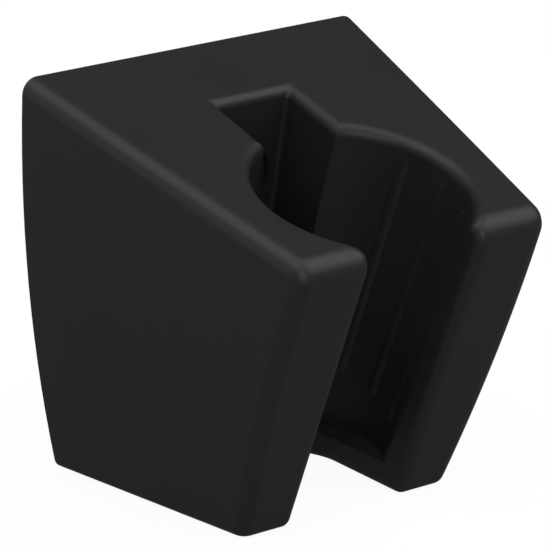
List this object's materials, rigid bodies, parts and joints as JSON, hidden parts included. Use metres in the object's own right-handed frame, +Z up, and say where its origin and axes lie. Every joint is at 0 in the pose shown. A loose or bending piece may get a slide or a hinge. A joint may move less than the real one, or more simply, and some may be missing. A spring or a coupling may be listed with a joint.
{
  "type": "hand shower holder",
  "caption": "Wall-fixed holder with a tilted tapered seat that takes the cone of a shower hose, open to the front.",
  "frame": {"origin": "on the wall face, midway between the two screw holes", "axes": "+Z up, +Y into the wall, the seat and mouth open towards -Y, +X to the right seen from the room"},
  "size_m": [0.0502, 0.0451, 0.0505],
  "materials": {
    "moulding": "matt black, fine moulded grain"
  },
  "bodies": {
    "root": {"holder": "moulding"}
  },
  "joints": []
}
